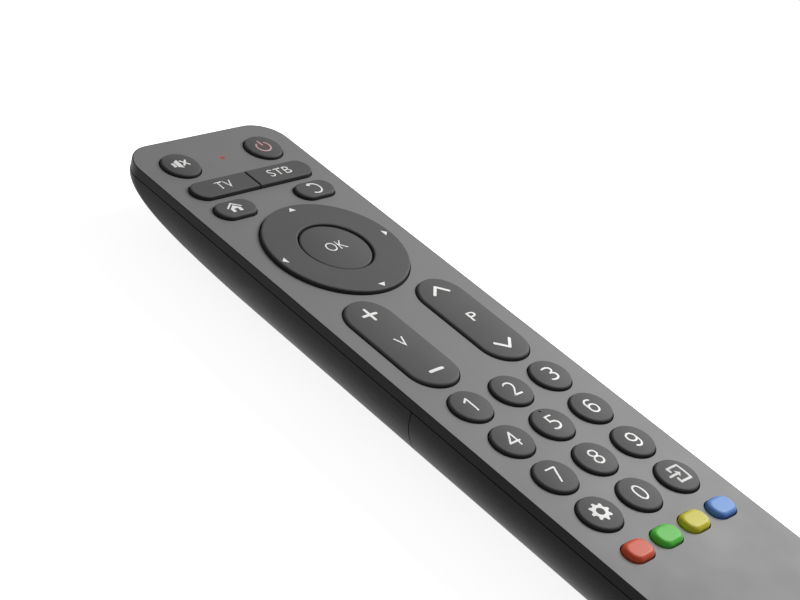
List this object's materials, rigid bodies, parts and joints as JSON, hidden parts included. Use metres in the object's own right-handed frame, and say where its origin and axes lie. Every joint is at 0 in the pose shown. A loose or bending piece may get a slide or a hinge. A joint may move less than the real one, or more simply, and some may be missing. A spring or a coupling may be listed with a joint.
{
  "type": "universal remote control",
  "caption": "Slim handheld remote control: flat face with round and long keys, a direction ring, boat-shaped dark hull and a sliding battery cover.",
  "frame": {"origin": "middle of the footprint of the whole remote, on the flat that it rests on", "axes": "+Y points to the infrared end, +Z out of the keypad face, +X to the keypad's right"},
  "size_m": [0.0462, 0.182, 0.0202],
  "materials": {
    "panel_grey": "fine matte",
    "casing_dark": "fine matte",
    "key_rubber": "soft matte",
    "red_rubber": "soft matte",
    "green_rubber": "soft matte",
    "yellow_rubber": "soft matte",
    "blue_rubber": "soft matte",
    "pivot_plastic": "plain moulded",
    "window_dark": "polished, dark red by transmission",
    "emitter_lens": "clear, bluish",
    "light_red": "clear, dark red",
    "diode_white": "ceramic white",
    "mat_silicone": "silicone, matte",
    "carbon": "carbon filled",
    "board_green": "solder mask on glass epoxy",
    "chip_black": "moulded epoxy",
    "resonator_tan": "dipped coating",
    "capacitor_sleeve": "shrink sleeve",
    "resistor_black": "ceramic with coated top",
    "screw_steel": "zinc plated",
    "cell_wrap": "printed wrap",
    "contact_nickel": "nickel plated"
  },
  "bodies": {
    "remote_body": {"front_panel": "panel_grey", "upper_casing": "casing_dark", "lower_casing": "casing_dark", "ir_window": "window_dark", "ir_emitter": "emitter_lens", "status_light_pipe": "light_red", "status_diode": "diode_white", "keypad_mat": "mat_silicone", "contact_pads": "carbon", "circuit_board": "board_green", "controller_chip": "chip_black", "resonator": "resonator_tan", "electrolytic_capacitor": "capacitor_sleeve", "chip_resistors": "resistor_black", "transistor": "chip_black", "case_screws": "screw_steel", "battery_left": "cell_wrap", "battery_right": "cell_wrap", "negative_contact": "contact_nickel", "positive_contact": "contact_nickel", "link_contact": "contact_nickel"},
    "mute_key": {"mute_key": "key_rubber"},
    "power_key": {"power_key": "key_rubber"},
    "tv_key": {"tv_key": "key_rubber"},
    "stb_key": {"stb_key": "key_rubber"},
    "home_key": {"home_key": "key_rubber"},
    "back_key": {"back_key": "key_rubber"},
    "ok_key": {"ok_key": "key_rubber"},
    "key_0": {"key_0": "key_rubber"},
    "key_1": {"key_1": "key_rubber"},
    "key_2": {"key_2": "key_rubber"},
    "key_3": {"key_3": "key_rubber"},
    "key_4": {"key_4": "key_rubber"},
    "key_5": {"key_5": "key_rubber"},
    "key_6": {"key_6": "key_rubber"},
    "key_7": {"key_7": "key_rubber"},
    "key_8": {"key_8": "key_rubber"},
    "key_9": {"key_9": "key_rubber"},
    "settings_key": {"settings_key": "key_rubber"},
    "input_key": {"input_key": "key_rubber"},
    "red_key": {"red_key": "red_rubber"},
    "green_key": {"green_key": "green_rubber"},
    "yellow_key": {"yellow_key": "yellow_rubber"},
    "blue_key": {"blue_key": "blue_rubber"},
    "volume_rocker": {"volume_rocker": "key_rubber"},
    "programme_rocker": {"programme_rocker": "key_rubber"},
    "dpad_frame": {"dpad_frame": "pivot_plastic"},
    "dpad_ring": {"dpad_ring": "key_rubber"},
    "battery_cover": {"battery_cover": "casing_dark"}
  },
  "joints": [
    {"name": "mute_key_press", "type": "slide", "parent": "remote_body", "child": "mute_key", "axis": [0, 0, -1], "range_m": [0, 0.0007], "stiffness_N_per_m": 2000},
    {"name": "power_key_press", "type": "slide", "parent": "remote_body", "child": "power_key", "axis": [0, 0, -1], "range_m": [0, 0.0007], "stiffness_N_per_m": 2000},
    {"name": "tv_key_press", "type": "slide", "parent": "remote_body", "child": "tv_key", "axis": [0, 0, -1], "range_m": [0, 0.0007], "stiffness_N_per_m": 2000},
    {"name": "stb_key_press", "type": "slide", "parent": "remote_body", "child": "stb_key", "axis": [0, 0, -1], "range_m": [0, 0.0007], "stiffness_N_per_m": 2000},
    {"name": "home_key_press", "type": "slide", "parent": "remote_body", "child": "home_key", "axis": [0, 0, -1], "range_m": [0, 0.0007], "stiffness_N_per_m": 2000},
    {"name": "back_key_press", "type": "slide", "parent": "remote_body", "child": "back_key", "axis": [0, 0, -1], "range_m": [0, 0.0007], "stiffness_N_per_m": 2000},
    {"name": "ok_key_press", "type": "slide", "parent": "remote_body", "child": "ok_key", "axis": [0, 0, -1], "range_m": [0, 0.0007], "stiffness_N_per_m": 2000},
    {"name": "key_0_press", "type": "slide", "parent": "remote_body", "child": "key_0", "axis": [0, 0, -1], "range_m": [0, 0.0007], "stiffness_N_per_m": 2000},
    {"name": "key_1_press", "type": "slide", "parent": "remote_body", "child": "key_1", "axis": [0, 0, -1], "range_m": [0, 0.0007], "stiffness_N_per_m": 2000},
    {"name": "key_2_press", "type": "slide", "parent": "remote_body", "child": "key_2", "axis": [0, 0, -1], "range_m": [0, 0.0007], "stiffness_N_per_m": 2000},
    {"name": "key_3_press", "type": "slide", "parent": "remote_body", "child": "key_3", "axis": [0, 0, -1], "range_m": [0, 0.0007], "stiffness_N_per_m": 2000},
    {"name": "key_4_press", "type": "slide", "parent": "remote_body", "child": "key_4", "axis": [0, 0, -1], "range_m": [0, 0.0007], "stiffness_N_per_m": 2000},
    {"name": "key_5_press", "type": "slide", "parent": "remote_body", "child": "key_5", "axis": [0, 0, -1], "range_m": [0, 0.0007], "stiffness_N_per_m": 2000},
    {"name": "key_6_press", "type": "slide", "parent": "remote_body", "child": "key_6", "axis": [0, 0, -1], "range_m": [0, 0.0007], "stiffness_N_per_m": 2000},
    {"name": "key_7_press", "type": "slide", "parent": "remote_body", "child": "key_7", "axis": [0, 0, -1], "range_m": [0, 0.0007], "stiffness_N_per_m": 2000},
    {"name": "key_8_press", "type": "slide", "parent": "remote_body", "child": "key_8", "axis": [0, 0, -1], "range_m": [0, 0.0007], "stiffness_N_per_m": 2000},
    {"name": "key_9_press", "type": "slide", "parent": "remote_body", "child": "key_9", "axis": [0, 0, -1], "range_m": [0, 0.0007], "stiffness_N_per_m": 2000},
    {"name": "settings_key_press", "type": "slide", "parent": "remote_body", "child": "settings_key", "axis": [0, 0, -1], "range_m": [0, 0.0007], "stiffness_N_per_m": 2000},
    {"name": "input_key_press", "type": "slide", "parent": "remote_body", "child": "input_key", "axis": [0, 0, -1], "range_m": [0, 0.0007], "stiffness_N_per_m": 2000},
    {"name": "red_key_press", "type": "slide", "parent": "remote_body", "child": "red_key", "axis": [0, 0, -1], "range_m": [0, 0.0007], "stiffness_N_per_m": 2000},
    {"name": "green_key_press", "type": "slide", "parent": "remote_body", "child": "green_key", "axis": [0, 0, -1], "range_m": [0, 0.0007], "stiffness_N_per_m": 2000},
    {"name": "yellow_key_press", "type": "slide", "parent": "remote_body", "child": "yellow_key", "axis": [0, 0, -1], "range_m": [0, 0.0007], "stiffness_N_per_m": 2000},
    {"name": "blue_key_press", "type": "slide", "parent": "remote_body", "child": "blue_key", "axis": [0, 0, -1], "range_m": [0, 0.0007], "stiffness_N_per_m": 2000},
    {"name": "volume_rocker_tilt", "type": "hinge", "parent": "remote_body", "child": "volume_rocker", "pos_m": [-0.01145, 0.00578, 0.0162], "axis": [1, 0, 0], "range_deg": [-2.4, 2.4], "stiffness_Nm_per_rad": 0.4},
    {"name": "programme_rocker_tilt", "type": "hinge", "parent": "remote_body", "child": "programme_rocker", "pos_m": [0.01145, 0.00578, 0.0162], "axis": [1, 0, 0], "range_deg": [-2.4, 2.4], "stiffness_Nm_per_rad": 0.4},
    {"name": "dpad_left_right", "type": "hinge", "parent": "remote_body", "child": "dpad_frame", "pos_m": [0, 0.0395, 0.01615], "axis": [0, 1, 0], "range_deg": [-1.6, 1.6], "stiffness_Nm_per_rad": 0.8},
    {"name": "dpad_up_down", "type": "hinge", "parent": "dpad_frame", "child": "dpad_ring", "pos_m": [0, 0.0395, 0.01745], "axis": [1, 0, 0], "range_deg": [-1.6, 1.6], "stiffness_Nm_per_rad": 0.8},
    {"name": "battery_cover_slide", "type": "slide", "parent": "remote_body", "child": "battery_cover", "axis": [0, -1, 0], "range_m": [0, 0.082]}
  ]
}
